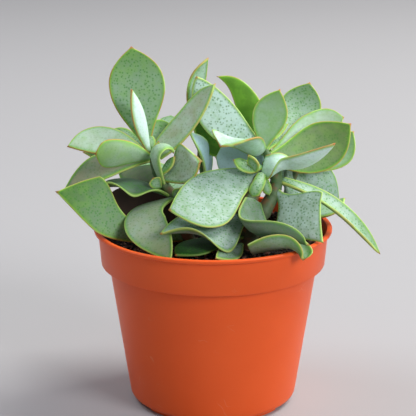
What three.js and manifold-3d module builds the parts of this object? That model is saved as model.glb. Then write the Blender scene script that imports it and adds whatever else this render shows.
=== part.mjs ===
// A potted ripple-leaved jade: a plastic nursery pot, its soil, four woody shoots and their fleshy leaves.
// Millimetres, +Z up. The origin is the middle of the pot's underside, on the surface it stands on.
import * as THREE from "three";
import Module from "manifold-3d";

const wasm = await Module();
wasm.setup();

// ---------------------------------------------------------------- sizes
const GAP = 0.3; // clearance between neighbouring pieces

const POT = {
  height: 91,
  rimRadius: 60,
  bandRadius: 58, // the deep collar, just below the lip
  bandDrop: 18.5, // collar height, lip included
  bodyTopRadius: 52.8,
  bodyBottomRadius: 42.9,
  footRadius: 39.6,
  footHeight: 2,
  wall: 1.2,
  floor: 1.4,
  centreDisc: 12, // raised disc under the floor that also meets the surface
  segments: 40,
};
const FOOT_NOTCHES = 6;
const FOOT_NOTCH_WIDTH = 10;
const DRAIN_HOLES = 6;
const DRAIN_RADIUS = 4;
const DRAIN_CIRCLE = 25;

const SOIL = { level: 84.3, relief: 0.9, segments: 36 };

// Woody shoots: the axis of each, from below the soil to the growing tip, and its two end radii.
const SHOOTS = {
  left: {
    path: [[-10, -12, 78], [-14, -11, 92], [-19, -7, 106], [-27, -4, 117], [-31, 0, 130]],
    radii: [3.6, 2],
  },
  right: {
    path: [[14, -20, 78], [20, -17, 95], [29, -10, 108], [31, -5, 118], [25, 1, 131]],
    radii: [4.6, 2.4],
  },
  fork: { path: [[17, -18, 90], [17, -18, 104], [20, -13, 112], [24, -7, 119]], radii: [4.2, 3.2] },
  back: { path: [[-2, 14, 78], [-3, 18, 98], [-4, 20, 112], [-7, 19, 127]], radii: [3.8, 2.2] },
  far: { path: [[36, 8, 78], [38, 10, 95], [39, 9, 108], [43, 12, 122]], radii: [3.6, 2.2] },
};

// Leaves. Each centreline runs from base through mid to tip; face is where its upper side looks at mid.
// width is the greatest width and widest is where it lies; neck is the share of it left at the base.
// flare and blunt shape the outline below and above that place. twist turns the blade, in degrees,
// over the stretch that turn gives. cup holds half the angle of the cross-section's arc at base and
// tip, and two more numbers where the right half differs. left and right hold the waves of the two
// edges: size, number of waves and phase in degrees. curl bends the end of the blade towards its upper
// side, by an angle in degrees from a share of the length on. A size given as a pair holds the left
// half's value and the right half's.
const LEFT_LEAVES = [
  { "name": "left_tall", "base": [-32, 2, 129], "mid": [-37, 7, 155], "tip": [-40.5, 10, 179.5],
    "face": [0.1, -0.95, 0.2], "width": 28, "cup": [20, 8], "widest": 0.6, "neck": 0.12, "blunt": 2.4,
    "flare": [1.35, 1.9] },
  { "name": "left_sliver", "base": [-32, -2, 129], "mid": [-35.5, -5, 146], "tip": [-40, -5, 161],
    "face": [-0.88, 0.45, 0.1], "width": 11, "cup": [30, 15], "widest": 0.5, "neck": 0.3 },
  { "name": "left_out", "base": [-32, 2, 126], "mid": [-54, 9, 132], "tip": [-73, 6, 130],
    "face": [-0.1, -0.6, 0.8], "width": 18, "cup": [15, 5] },
  { "name": "left_spoon", "base": [-31, -2, 127], "mid": [-43.5, -15, 132.5],
    "tip": [-56.5, -24, 133.5], "face": [0.05, 1, 0.05], "width": [12.5, 19.5], "cup": [20, 28],
    "widest": [0.72, 0.66], "blunt": [3.2, 3], "neck": [0.15, 0.25], "flare": [1, 1.2] },
  { "name": "left_behind", "base": [-31, 3, 128], "mid": [-44, 18, 132.5], "tip": [-52.5, 22, 134.5],
    "face": [0.1, -0.8, 0.5], "width": 8 },
  { "name": "left_droop", "base": [-30, -1, 125], "mid": [-53, -5, 122], "tip": [-74, -8, 111],
    "face": [-0.2, -0.75, 0.6], "width": [13, 17], "cup": [15, 10], "blunt": 1.6 },
  { "name": "left_low", "base": [-12.5, -12, 87], "mid": [-45, -20, 96.5], "tip": [-76, -24, 114.5],
    "hook": [0, 0, -2.5], "face": [-0.2, -0.8, 0.55], "width": [19, 31], "cup": [20, 5],
    "widest": [0.62, 0.77], "neck": [0.1, 0.3], "flare": [4, 18], "blunt": [1.4, 1] },
  { "name": "left_front", "base": [-19, -7, 107], "mid": [-32, -28, 101], "tip": [-20, -48, 87],
    "face": [-0.35, -0.5, 0.8], "width": [20, 25], "cup": [0, 10], "widest": [0.6, 0.36],
    "blunt": [3, 1.9], "neck": 0.15, "flare": [1.8, 1.3] },
  { "name": "left_wavy", "base": [-20, -6, 107], "mid": [-38.5, -8, 114], "tip": [-56.5, -9, 113.2],
    "face": [0, 0, 1], "width": 20, "left": [3.8, 1.43, 12], "cup": [0, 0], "blunt": 6 },
  { "name": "left_lance", "base": [-29, 1, 127], "mid": [-13, 3, 143.5], "tip": [1, 5, 162],
    "face": [-0.6, -0.7, 0.4], "width": [14, 17], "cup": [30, 20], "widest": [0.45, 0.3],
    "blunt": [4.5, 2.2], "neck": 0.7, "flare": 1 },
  { "name": "left_round", "base": [-30, 3, 126], "mid": [-26, 9, 133.5], "tip": [-19.5, 13, 138.5],
    "face": [0.2, -0.8, 0.5], "width": 18, "blunt": 3 },
  { "name": "left_curl", "base": [-25, -6, 114], "mid": [-29.5, -12, 129], "tip": [-31.5, -12, 144.5],
    "face": [0.9, 0.35, 0], "width": 11, "cup": [40, 45], "curl": [165, 0.48], "widest": 0.6,
    "neck": 0.4, "blunt": 2.4 },
  { "name": "left_shell", "base": [-25, -4, 115], "mid": [-14, -10, 121.5], "tip": [-6.5, -16, 127],
    "face": [-0.45, -0.7, 0.5], "width": [26, 14], "cup": [10, 5], "twist": 30,
    "left": [3.5, 0.8, -50], "widest": [0.62, 0.55], "blunt": [1.2, 2], "flare": [1.8, 1.3] },
  { "name": "left_shade", "base": [-23, -5, 112], "mid": [-35, 13, 113.5], "tip": [-49, 30, 109.5],
    "face": [0, -0.6, 0.8], "width": 17 },
  { "name": "left_dry", "base": [-16, -8, 98], "mid": [-41, 6, 100], "tip": [-56, 9, 100.5],
    "face": [0, -0.9, 0.4], "width": 18, "cup": [20, 10], "widest": 0.5, "neck": [0.4, 0.95] },
];
const BACK_LEAVES = [
  { "name": "back_twist", "base": [-6, 19, 125], "mid": [-9.5, 21, 152.5], "tip": [-2.5, 22, 172],
    "face": [0.4, -0.85, 0.1], "width": [12, 10], "cup": [20, 30], "twist": 50, "blunt": 2.2,
    "widest": [0.72, 0.6], "flare": [2.2, 1.3] },
  { "name": "back_strip", "base": [-4, 18, 103], "mid": [-3.5, 13, 124], "tip": [-12, 13, 136],
    "face": [0.75, -0.6, 0.2], "width": [11, 9], "cup": [25, 20] },
  { "name": "back_dark", "base": [25, 3, 125], "mid": [5.5, 16, 135], "tip": [-8, 15, 149],
    "face": [-0.3, -0.8, 0.4], "width": [27, 11], "widest": 0.5, "flare": [2.5, 1.3] },
  { "name": "back_blue", "base": [25, 1, 122], "mid": [11.5, 8, 122.5], "tip": [1.5, 10, 123.5],
    "face": [-0.2, -0.9, 0.3], "width": [18, 20], "neck": 0.5, "blunt": 3 },
];
const RIGHT_LEAVES = [
  { "name": "right_broad", "base": [24, 2, 130], "mid": [5, 8, 143.5], "tip": [-9.5, 11, 166],
    "face": [-0.1, -0.9, 0.4], "width": [21, 18], "cup": [12, 5], "widest": 0.52, "blunt": 2.3,
    "neck": 0.3, "curl": [55, 0.85] },
  { "name": "right_bright", "base": [25, 4, 130], "mid": [18, 20, 148], "tip": [2, 26, 162],
    "face": [-0.2, -0.8, 0.5], "width": 14, "hook": [0, 0, -2.8], "widest": 0.42, "blunt": 1.4 },
  { "name": "right_young", "base": [25, 1, 129], "mid": [28, 4, 145], "tip": [33, 6, 159],
    "face": [-0.1, -0.95, 0.2], "width": 17.5, "cup": [20, 5], "widest": 0.55 },
  { "name": "right_high", "base": [26, 2, 129], "mid": [42, 27, 140], "tip": [50, 35, 157],
    "face": [-0.1, -0.95, 0.3], "width": 22, "cup": [10, 5], "blunt": [3, 2.6], "neck": 0.12,
    "flare": 1.9 },
  { "name": "right_rim", "base": [28, 3, 126.5], "mid": [49, 16.5, 136.5], "tip": [66.5, 20, 142],
    "face": [-0.2, -0.9, 0.4], "width": 16, "blunt": 3.4, "neck": 0.14, "flare": 1.6 },
  { "name": "right_large", "base": [26, -1, 125], "mid": [49, 7, 128], "tip": [69, 9, 141],
    "face": [-0.1, -0.93, 0.35], "width": [23.5, 26], "cup": [12, 5], "widest": 0.6, "blunt": 2.2 },
  { "name": "right_boat", "base": [24.5, -5, 123], "mid": [41, -15, 125.5], "tip": [58, -26, 139],
    "face": [-0.2, 0.6, 0.75], "width": 20, "cup": [20, 30], "twist": -90, "turn": [0.05, 0.45],
    "widest": 0.38, "neck": 0.5 },
  { "name": "right_hood", "base": [24, 0, 128], "mid": [13.5, -12, 137], "tip": [3.5, -20, 136],
    "face": [0.1, 0.3, 0.95], "width": [15, 24], "cup": [35, 5, 15, 10], "twist": -90,
    "widest": [0.4, 0.72], "blunt": [1.5, 4], "neck": [0.5, 0.3], "flare": 1 },
];
const FRONT_LEAVES = [
  { "name": "front_large", "base": [24, -7, 118], "mid": [1, -26, 110.5], "tip": [-21, -40, 110],
    "face": [-0.1, -0.7, 0.72], "width": [30, 36], "cup": [5, 0], "widest": [0.62, 0.45], "blunt": 2,
    "flare": [3, 0.8], "neck": [0.1, 0.3] },
  { "name": "front_wave", "base": [17, -18, 100], "mid": [-4, -31, 100], "tip": [-25, -46, 100],
    "face": [0, -0.35, 0.9], "width": [36, 24], "left": [6, 1.25, 90], "cup": [0, 0],
    "widest": [0.44, 0.5], "flare": [1.8, 1.3], "blunt": [1.3, 1.8] },
  { "name": "front_under", "base": [15.5, -19.5, 91], "mid": [-6, -33, 90], "tip": [-18, -45, 89],
    "face": [0, -0.2, 1], "width": 16 },
  { "name": "front_fold", "base": [14, -24, 88], "mid": [9, -36, 88], "tip": [1, -49, 88.8],
    "face": [0.3, -0.4, 0.85], "width": 10, "thick": 1.8 },
  { "name": "front_roll", "base": [18, -40.5, 89], "mid": [30, -42.5, 92], "tip": [45, -46.5, 95],
    "face": [0, 0.35, 0.93], "width": [16, 22], "widest": [0.85, 0.4], "cup": [60, 110, 40, 95],
    "blunt": [6, 2.4], "neck": [0.3, 0.85], "flare": 1, "curl": [-80, 0.66] },
  { "name": "front_drape", "base": [19.5, -19, 110], "mid": [25, -37, 96.5], "tip": [45, -47.5, 95],
    "face": [0, 0.25, 0.95], "width": [20, 27], "widest": [0.3, 0.45], "neck": [0.4, 0.32],
    "blunt": [1.5, 2.6], "cup": [10, 10, 0, 150], "flare": [1, 1.2], "hook": [-2, 0, -2] },
  { "name": "front_flag", "base": [30.5, -9, 111.5], "mid": [42, -22, 101.5], "tip": [53, -33, 91.5],
    "face": [-0.3, -0.9, 0.3], "width": 33, "blunt": 0.72, "flare": 3.2, "widest": 0.51, "neck": 0.12 },
  { "name": "front_long", "base": [33.5, -6, 115.5], "mid": [59, -12, 104], "tip": [83, -14, 80],
    "face": [0.45, -0.6, 0.7], "width": [11, 10], "cup": [30, 30, 60, 80], "blunt": 3, "neck": 0.5 },
];
const FAR_LEAVES = [
  { "name": "far_side", "base": [41, 11, 116], "mid": [60, 20, 124.5], "tip": [72, 22, 134],
    "face": [-0.2, -0.9, 0.4], "width": 22 },
  { "name": "far_broad", "base": [36, 4.5, 113], "mid": [48.5, 13, 108], "tip": [65, 18, 97.5],
    "face": [0, -0.8, 0.5], "width": [30, 26], "blunt": [3, 1.2], "neck": 0.8 },
  { "name": "far_low", "base": [38, 10, 96], "mid": [55.5, 5, 97], "tip": [67, 8, 102.5],
    "face": [0, -0.3, 0.95], "width": 13 },
];
const REAR_LEAVES = [
  { "name": "rear_1", "base": [-3, 19, 108], "mid": [-27, 33, 106], "tip": [-50, 48, 114],
    "face": [0, -0.4, 0.9], "width": 24 },
  { "name": "rear_2", "base": [-3, 18, 98], "mid": [-4, 37, 100], "tip": [-8, 57, 94],
    "face": [0, -0.2, 1], "width": 24 },
  { "name": "rear_3", "base": [28.5, -1.5, 122], "mid": [18, 27, 129], "tip": [11, 48, 133],
    "face": [0, -0.4, 0.9], "width": 22 },
  { "name": "rear_4", "base": [42, 14, 120], "mid": [44, 33, 128], "tip": [50, 51, 131],
    "face": [0, -0.3, 0.95], "width": 22 },
  { "name": "rear_5", "base": [39, 10, 108], "mid": [37, 33, 111], "tip": [36, 54, 107],
    "face": [0, -0.2, 1], "width": 24 },
  { "name": "rear_6", "base": [38, 10, 99], "mid": [50, 30, 102], "tip": [58, 47, 97],
    "face": [0.2, -0.2, 1], "width": 24 },
  { "name": "rear_7", "base": [-15, -10, 94], "mid": [-24, 8, 97], "tip": [-35, 23, 97],
    "face": [0, -0.4, 0.9], "width": 18 },
  { "name": "rear_8", "base": [-3, 18, 100], "mid": [14, 35, 102], "tip": [24, 51, 96],
    "face": [0, -0.3, 1], "width": 20 },
];
const LARGE_LEAVES = [
  ...LEFT_LEAVES, ...RIGHT_LEAVES, ...BACK_LEAVES, ...FRONT_LEAVES, ...FAR_LEAVES, ...REAR_LEAVES,
];

// Young leaves and side buds, each grown together with the shoot that "on" names.
const YOUNG_LEAVES = [
  { "name": "a1", "on": "left", "base": [-31, 0, 128], "mid": [-31, 2, 133], "tip": [-33, 4, 137],
    "face": [0.2, -0.9, 0.2], "width": 5 },
  { "name": "a2", "on": "left", "base": [-31, -1, 127], "mid": [-28, -4, 131], "tip": [-27, -5, 135],
    "face": [-0.3, 0.6, 0.7], "width": 5 },
  { "name": "a3", "on": "left", "base": [-31, 1, 127], "mid": [-24.5, 24, 136.5],
    "tip": [-21.5, 32, 140], "face": [-0.3, -0.6, 0.7], "width": 12 },
  { "name": "a4", "on": "left", "base": [-30, 0, 125], "mid": [-47, 7, 125], "tip": [-66, 14, 125],
    "face": [0, -0.6, 0.8], "width": 10 },
  { "name": "a5", "on": "left", "base": [-27, -4, 117], "mid": [-22.5, -5, 122.5],
    "tip": [-19, -5, 127.5], "face": [-0.6, -0.5, 0.5], "width": 6 },
  { "name": "a6", "on": "left", "base": [-26, -6.5, 112.5], "mid": [-28, -9.7, 114.7],
    "tip": [-29.5, -11.5, 118], "face": [0, -0.95, 0.3], "width": 7, "cup": [30, 30], "blunt": 4,
    "neck": 0.3, "widest": 0.8, "thick": 1.6 },
  { "name": "a7", "on": "left", "base": [-20, -7, 107], "mid": [-18, -10, 110],
    "tip": [-16.5, -11, 113], "face": [0, -0.9, 0.3], "width": 5 },
  { "name": "c1", "on": "right", "base": [24.5, 0, 129.5], "mid": [22, -1, 133.5],
    "tip": [21.5, -2, 135.5], "face": [0.1, 0.8, 0.5], "width": 4 },
  { "name": "c2", "on": "right", "base": [25, 1, 129.5], "mid": [24, -1, 132.5],
    "tip": [24, -1, 134.5], "face": [0, -0.9, 0.2], "width": 4 },
  { "name": "c3", "on": "right", "base": [25, -4, 122], "mid": [17, -10, 123.5],
    "tip": [10, -12, 127.5], "face": [0.1, -0.6, 0.7], "width": 8, "blunt": 3.5 },
  { "name": "c4", "on": "right", "base": [21, -9, 120.5], "mid": [20, -12, 126], "tip": [17, -13, 130],
    "face": [-0.5, -0.7, 0.3], "width": 7, "cup": [30, 50] },
  { "name": "c5", "on": "right", "base": [25, 1, 131], "mid": [30, 7, 136], "tip": [38, 15, 139.5],
    "face": [0, -0.8, 0.5], "width": 6 },
  { "name": "c7", "on": "right", "base": [24, -9, 119], "mid": [22, -15, 116], "tip": [19, -18, 110.5],
    "face": [-0.1, -0.9, 0.3], "width": 6.5, "blunt": 5, "widest": 0.6, "thick": 3.5, "neck": 0.8 },
  { "name": "c6", "on": "right", "base": [25, -8, 118.5], "mid": [26, -13, 114.5],
    "tip": [27.5, -15, 110.5], "face": [0.1, -0.9, 0.3], "width": 5, "blunt": 3, "neck": 0.6 },
];

const LEAF_DEFAULTS = {
  hook: [0, 0, 0], widest: 0.58, neck: 0.2, blunt: 2, flare: 1.3, thick: 2.4,
  twist: 0, turn: [0, 1], curl: [0, 0.5], cup: [0, 0], left: [0, 0, 0], right: [0, 0, 0],
};
const EDGE_THICKNESS = 0.8;
const TIGHTEST_ROLL = 1.6; // least radius of a rolled cross-section
const LEAST_HALF_WIDTH = 0.35;
const FRAME_STEPS = 48; // steps of the turning frame along a leaf
const LARGE_GRID = [8, 4]; // cells along and across a large leaf
const YOUNG_GRID = [5, 2];
const SHOOT_STEPS = 10;
const SHOOT_SIDES = 8;

const COLOURS = { pot: 0xc8502c, soil: 0x3a2a20, shoot: 0x8a8a58, leaf: 0x8fb78a };

// ---------------------------------------------------------------- closed skins
const vector = (triple) => new THREE.Vector3(...triple);
const radians = THREE.MathUtils.degToRad;

function solid(points, triangles) {
  return new wasm.Manifold(new wasm.Mesh({
    numProp: 3,
    vertProperties: new Float32Array(points.flatMap((p) => [p.x, p.y, p.z])),
    triVerts: new Uint32Array(triangles.flat()),
  }));
}

// Rings of equally many points, joined into a tube with a fan of triangles over each end.
function skinOfRings(rings, startPoint, endPoint) {
  const around = rings[0].length;
  const points = [...rings.flat(), startPoint, endPoint];
  const [start, end] = [points.length - 2, points.length - 1];
  const last = (rings.length - 1) * around;
  const triangles = [];
  for (let j = 0; j < around; j += 1) {
    const next = (j + 1) % around;
    for (let low = 0; low < last; low += around) {
      const high = low + around;
      triangles.push([low + j, low + next, high + next], [low + j, high + next, high + j]);
    }
    triangles.push([start, next, j], [end, last + j, last + next]);
  }
  return solid(points, triangles);
}

const ringOf = (count, place) => Array.from({ length: count }, (_, j) => place((2 * Math.PI * j) / count));

// A profile of [radius, height] pairs, from the axis out and back to the axis, spun about Z.
function spun(profile, segments, lift = () => 0) {
  const rings = profile.slice(1, -1).map(([radius, height]) => ringOf(segments, (angle) => {
    const [x, y] = [radius * Math.cos(angle), radius * Math.sin(angle)];
    return new THREE.Vector3(x, y, height + lift(x, y, height));
  }));
  const middle = ([, height]) => new THREE.Vector3(0, 0, height + lift(0, 0, height));
  return skinOfRings(rings, middle(profile[0]), middle(profile.at(-1)));
}

// A three.js geometry with its shared corners merged.
function solidOfGeometry(geometry) {
  const position = geometry.getAttribute("position");
  const points = [];
  const known = new Map();
  const corners = Array.from(geometry.index.array, (i) => {
    const point = new THREE.Vector3().fromBufferAttribute(position, i);
    const key = point.toArray().map((c) => c.toFixed(4)).join();
    if (!known.has(key)) known.set(key, points.push(point) - 1);
    return known.get(key);
  });
  const triangles = [];
  for (let i = 0; i < corners.length; i += 3) {
    const triangle = corners.slice(i, i + 3);
    if (new Set(triangle).size === 3) triangles.push(triangle);
  }
  return solid(points, triangles);
}

const largestPiece = (shape) => shape.decompose().reduce((a, b) => (b.volume() > a.volume() ? b : a));

// ---------------------------------------------------------------- pot and soil
function makePot() {
  const { height, rimRadius, bandRadius, bodyTopRadius, bodyBottomRadius, footRadius, footHeight } = POT;
  const bandBottom = height - POT.bandDrop;
  const floorTop = footHeight + POT.floor;
  const underside = [
    [0, 0], [POT.centreDisc, 0], [POT.centreDisc + 0.6, footHeight],
    [footRadius - 3.2, footHeight], [footRadius - 2.8, 0], [footRadius - 0.4, 0],
  ];
  const outside = [
    [footRadius, 0.4], [footRadius, footHeight], [footRadius + 1.8, footHeight + 0.3],
    [bodyBottomRadius - 0.4, 3.6], [bodyBottomRadius, 5.2], [bodyTopRadius, bandBottom],
    [bandRadius - 1.8, bandBottom], [bandRadius - 1.4, bandBottom + 0.6], [bandRadius, height - 2],
  ];
  const lip = [
    [rimRadius - 0.4, height - 1.9], [rimRadius, height - 1.4], [rimRadius, height - 0.6],
    [rimRadius - 0.5, height], [rimRadius - 1.8, height], [rimRadius - 2.8, height - 0.6],
  ];
  const inside = [
    [bandRadius - 2.4, bandBottom + 1.7], [bodyTopRadius - 0.9, bandBottom + 0.7],
    [bodyTopRadius - POT.wall, bandBottom - 0.4], [bodyBottomRadius - POT.wall, 5.2],
    [bodyBottomRadius - POT.wall - 0.8, floorTop], [0, floorTop],
  ];
  let pot = spun([...underside, ...outside, ...lip, ...inside], POT.segments);
  for (let i = 0; i < FOOT_NOTCHES; i += 1) {
    const angle = (2 * Math.PI * (i + 0.5)) / FOOT_NOTCHES;
    const notch = new THREE.BoxGeometry(8, FOOT_NOTCH_WIDTH, 3.4);
    pot = pot.subtract(solidOfGeometry(notch.translate(footRadius - 1, 0, 0).rotateZ(angle)));
  }
  for (let i = 0; i < DRAIN_HOLES; i += 1) {
    const angle = (2 * Math.PI * i) / DRAIN_HOLES;
    const hole = new THREE.CylinderGeometry(DRAIN_RADIUS, DRAIN_RADIUS, 6, 12).rotateX(Math.PI / 2);
    pot = pot.subtract(solidOfGeometry(hole.translate(DRAIN_CIRCLE, 0, 3).rotateZ(angle)));
  }
  return pot;
}

// Height of the uneven soil surface above its level.
function soilRelief(x, y) {
  const lumps = Math.sin(0.21 * x + 0.6) * Math.cos(0.17 * y) + 0.5 * Math.sin(0.43 * x - 0.37 * y);
  return SOIL.relief * lumps - 0.012 * x;
}

function makeSoil(stemHoles) {
  const bandBottom = POT.height - POT.bandDrop;
  const bottom = POT.footHeight + POT.floor + GAP;
  const bodyTop = POT.bodyTopRadius - POT.wall - GAP;
  const bodyBottom = POT.bodyBottomRadius - POT.wall - GAP;
  const side = [
    [0, bottom], [bodyBottom - 1.2, bottom], [bodyBottom, 5.4], [bodyTop, bandBottom - 0.3],
    [bodyTop + 0.2, bandBottom + 1.2], [POT.bandRadius - 3.2, bandBottom + 2.2],
  ];
  const top = [56.2, 50, 43, 36, 29, 22, 15, 8, 0].map((radius) => [radius, SOIL.level]);
  const lift = (x, y, height) => (height === SOIL.level ? soilRelief(x, y) : 0);
  return stemHoles.reduce((soil, hole) => soil.subtract(hole), spun([...side, ...top], SOIL.segments, lift));
}

// ---------------------------------------------------------------- shoots
const axisOf = (shoot) => new THREE.CatmullRomCurve3(shoot.path.map(vector), false, "catmullrom", 0.5);

// The round stem of one shoot, thicker all over by grow. A cutter also runs on below the stem's foot.
function makeStem(shoot, grow = 0) {
  const axis = axisOf(shoot);
  const [foot, tip] = shoot.radii;
  const first = new THREE.Vector3(1, 0, 0);
  const rings = Array.from({ length: SHOOT_STEPS + 1 }, (_, i) => {
    const share = i / SHOOT_STEPS;
    const centre = axis.getPoint(share);
    const along = axis.getTangent(share);
    first.addScaledVector(along, -first.dot(along)).normalize();
    const second = along.clone().cross(first);
    const radius = THREE.MathUtils.lerp(foot, tip, share) + grow;
    return ringOf(SHOOT_SIDES, (angle) => centre.clone()
      .addScaledVector(first, radius * Math.cos(angle))
      .addScaledVector(second, radius * Math.sin(angle)));
  });
  const below = axis.getTangent(0).multiplyScalar(-grow);
  const above = axis.getTangent(1).multiplyScalar(grow + tip / 2);
  return skinOfRings(rings, axis.getPoint(0).add(below), axis.getPoint(1).add(above));
}

// ---------------------------------------------------------------- leaves
// Centreline points with the leaf's own axes: along it, across to its left edge, and out of its face.
function leafFrames(leaf) {
  const [base, mid, tip] = [leaf.base, leaf.mid, leaf.tip].map(vector);
  const hook = vector(leaf.hook);
  const bow = mid.clone().addScaledVector(base, -0.5).addScaledVector(tip, -0.5);
  const run = tip.clone().sub(base);
  const frames = Array.from({ length: FRAME_STEPS + 1 }, (_, i) => {
    const u = i / FRAME_STEPS;
    const centre = base.clone().addScaledVector(run, u)
      .addScaledVector(bow, Math.sin(Math.PI * u))
      .addScaledVector(hook, Math.sin(2 * Math.PI * u));
    const along = run.clone().addScaledVector(bow, Math.PI * Math.cos(Math.PI * u))
      .addScaledVector(hook, 2 * Math.PI * Math.cos(2 * Math.PI * u)).normalize();
    return { centre, along };
  });
  const carry = (frame, face) => {
    frame.face = face.clone().addScaledVector(frame.along, -face.dot(frame.along)).normalize();
    return frame.face;
  };
  const half = FRAME_STEPS / 2;
  frames.slice(half).reduce((face, frame) => carry(frame, face), vector(leaf.face));
  frames.slice(0, half).reduceRight((face, frame) => carry(frame, face), frames[half].face);
  const [curl, curlFrom] = leaf.curl;
  const reach = frames.map(({ centre }, i) => (i ? centre.distanceTo(frames[i - 1].centre) : 0));
  frames.forEach((frame, i) => {
    const share = (i / FRAME_STEPS - curlFrom) / (1 - curlFrom);
    if (!curl || share <= 0) return;
    const [cos, sin] = [Math.cos(radians(curl) * share), Math.sin(radians(curl) * share)];
    const along = frame.along.clone().multiplyScalar(cos).addScaledVector(frame.face, sin);
    frame.face.multiplyScalar(cos).addScaledVector(frame.along, -sin);
    frame.along = along;
    frame.centre = frames[i - 1].centre.clone().addScaledVector(along, reach[i]);
  });
  const [from, to] = leaf.turn;
  const ease = (u) => {
    const t = THREE.MathUtils.clamp((u - from) / (to - from), 0, 1);
    return from === 0 && to === 1 ? t : t * t * (3 - 2 * t);
  };
  frames.forEach((frame, i) => {
    const angle = radians(leaf.twist) * (ease(i / FRAME_STEPS) - ease(0.5));
    const across = frame.face.clone().cross(frame.along);
    frame.left = across.clone().multiplyScalar(Math.cos(angle)).addScaledVector(frame.face, Math.sin(angle));
    frame.up = frame.face.multiplyScalar(Math.cos(angle)).addScaledVector(across, -Math.sin(angle));
  });
  return frames;
}

function frameAt(frames, u) {
  const place = u * FRAME_STEPS;
  const i = Math.min(Math.floor(place), FRAME_STEPS - 1);
  const blend = (key) => frames[i][key].clone().lerp(frames[i + 1][key], place - i);
  return { centre: blend("centre"), left: blend("left").normalize(), up: blend("up").normalize() };
}

// Half the width at u, of the left half where v is above zero and of the right half elsewhere.
function halfWidth(leaf, u, v) {
  const [width, widest, neck, flare, blunt] = ["width", "widest", "neck", "flare", "blunt"]
    .map((key) => (Array.isArray(leaf[key]) ? leaf[key][v > 0 ? 0 : 1] : leaf[key]));
  const share = u < widest
    ? neck + (1 - neck) * Math.sin((Math.PI / 2) * (u / widest)) ** flare
    : 1 - ((u - widest) / (1 - widest)) ** blunt;
  return Math.max((width / 2) * share, LEAST_HALF_WIDTH);
}

// One skin point: u runs from base to tip, v from the right edge to the left, side is 1 above, -1 below.
function leafPoint(leaf, frames, u, v, side, grow) {
  const { centre, left, up } = frameAt(frames, u);
  const half = halfWidth(leaf, u, v) + grow;
  const [cupBase, cupTip] = v < 0 ? leaf.cup.slice(-2) : leaf.cup;
  const limit = half / TIGHTEST_ROLL;
  const bend = THREE.MathUtils.clamp(radians(THREE.MathUtils.lerp(cupBase, cupTip, u)), -limit, limit);
  const flat = Math.abs(bend) < 1e-3;
  const sideways = flat ? half * v : (half / bend) * Math.sin(bend * v);
  let raised = flat ? 0 : (half / bend) * (1 - Math.cos(bend * v));
  const [size, count, phase] = v > 0 ? leaf.left : leaf.right;
  const onset = Math.sin((Math.PI / 2) * Math.min(1, 1.6 * u));
  raised += size * v * v * onset * Math.sin(2 * Math.PI * count * u + radians(phase));
  const body = (leaf.thick - EDGE_THICKNESS) * (1 - v * v) ** 0.8 * (1 - 0.55 * u ** 3);
  const thickness = (EDGE_THICKNESS + body) / 2 + grow;
  const outward = up.clone().multiplyScalar(Math.cos(bend * v)).addScaledVector(left, -Math.sin(bend * v));
  return centre.addScaledVector(left, sideways).addScaledVector(up, raised)
    .addScaledVector(outward, thickness * side);
}

// A leaf as a closed blade, larger all round by grow.
function makeLeaf(row, [long, wide], grow = 0) {
  const leaf = { ...LEAF_DEFAULTS, ...row };
  const frames = leafFrames(leaf);
  const points = [];
  for (const side of [1, -1]) {
    for (let i = 0; i <= long; i += 1) {
      for (let j = 0; j <= wide; j += 1) {
        points.push(leafPoint(leaf, frames, i / long, (2 * j) / wide - 1, side, grow));
      }
    }
  }
  const under = (long + 1) * (wide + 1);
  const at = (i, j) => i * (wide + 1) + j;
  const triangles = [];
  const quad = (a, b, c, d) => triangles.push([a, b, c], [a, c, d]);
  for (let i = 0; i < long; i += 1) {
    for (let j = 0; j < wide; j += 1) {
      const [a, b, c, d] = [at(i, j), at(i + 1, j), at(i + 1, j + 1), at(i, j + 1)];
      quad(a, b, c, d);
      triangles.push([under + a, under + c, under + b], [under + a, under + d, under + c]);
    }
    quad(at(i, 0), under + at(i, 0), under + at(i + 1, 0), at(i + 1, 0));
    quad(at(i + 1, wide), under + at(i + 1, wide), under + at(i, wide), at(i, wide));
  }
  for (let j = 0; j < wide; j += 1) {
    quad(at(0, j + 1), under + at(0, j + 1), under + at(0, j), at(0, j));
    quad(at(long, j), under + at(long, j), under + at(long, j + 1), at(long, j + 1));
  }
  return solid(points, triangles);
}

// ---------------------------------------------------------------- assembly
function boxesMeet(a, b) {
  const [one, two] = [a.boundingBox(), b.boundingBox()];
  return [0, 1, 2].every((k) => one.min[k] < two.max[k] && two.min[k] < one.max[k]);
}

function cutBy(shape, cutters) {
  const near = cutters.filter((cutter) => boxesMeet(shape, cutter));
  return near.length ? largestPiece(near.reduce((rest, cutter) => rest.subtract(cutter), shape)) : shape;
}

const plant = new THREE.Group();

function addMesh(name, shape, colour, roughness) {
  const { vertProperties, triVerts } = shape.getMesh();
  const geometry = new THREE.BufferGeometry();
  geometry.setAttribute("position", new THREE.BufferAttribute(vertProperties, 3));
  geometry.setIndex(new THREE.BufferAttribute(triVerts, 1));
  const mesh = new THREE.Mesh(geometry, new THREE.MeshStandardMaterial({ color: colour, roughness }));
  mesh.name = name;
  plant.add(mesh);
}

// The right shoot forks just above the soil, so its two stems are one solid.
const STEM_OF = { left: ["left"], right: ["right", "fork"], back: ["back"], far: ["far"] };

const shootSolids = [];
const shootCutters = [];
const stemHoles = [];
for (const [name, stems] of Object.entries(STEM_OF)) {
  const young = YOUNG_LEAVES.filter((leaf) => leaf.on === name);
  const joined = (grow) => [
    ...stems.map((stem) => makeStem(SHOOTS[stem], grow)),
    ...young.map((leaf) => makeLeaf(leaf, YOUNG_GRID, grow)),
  ].reduce((all, piece) => all.add(piece));
  shootSolids.push([name, joined(0)]);
  shootCutters.push(joined(GAP));
  stemHoles.push(makeStem(SHOOTS[name], GAP));
}

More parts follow.
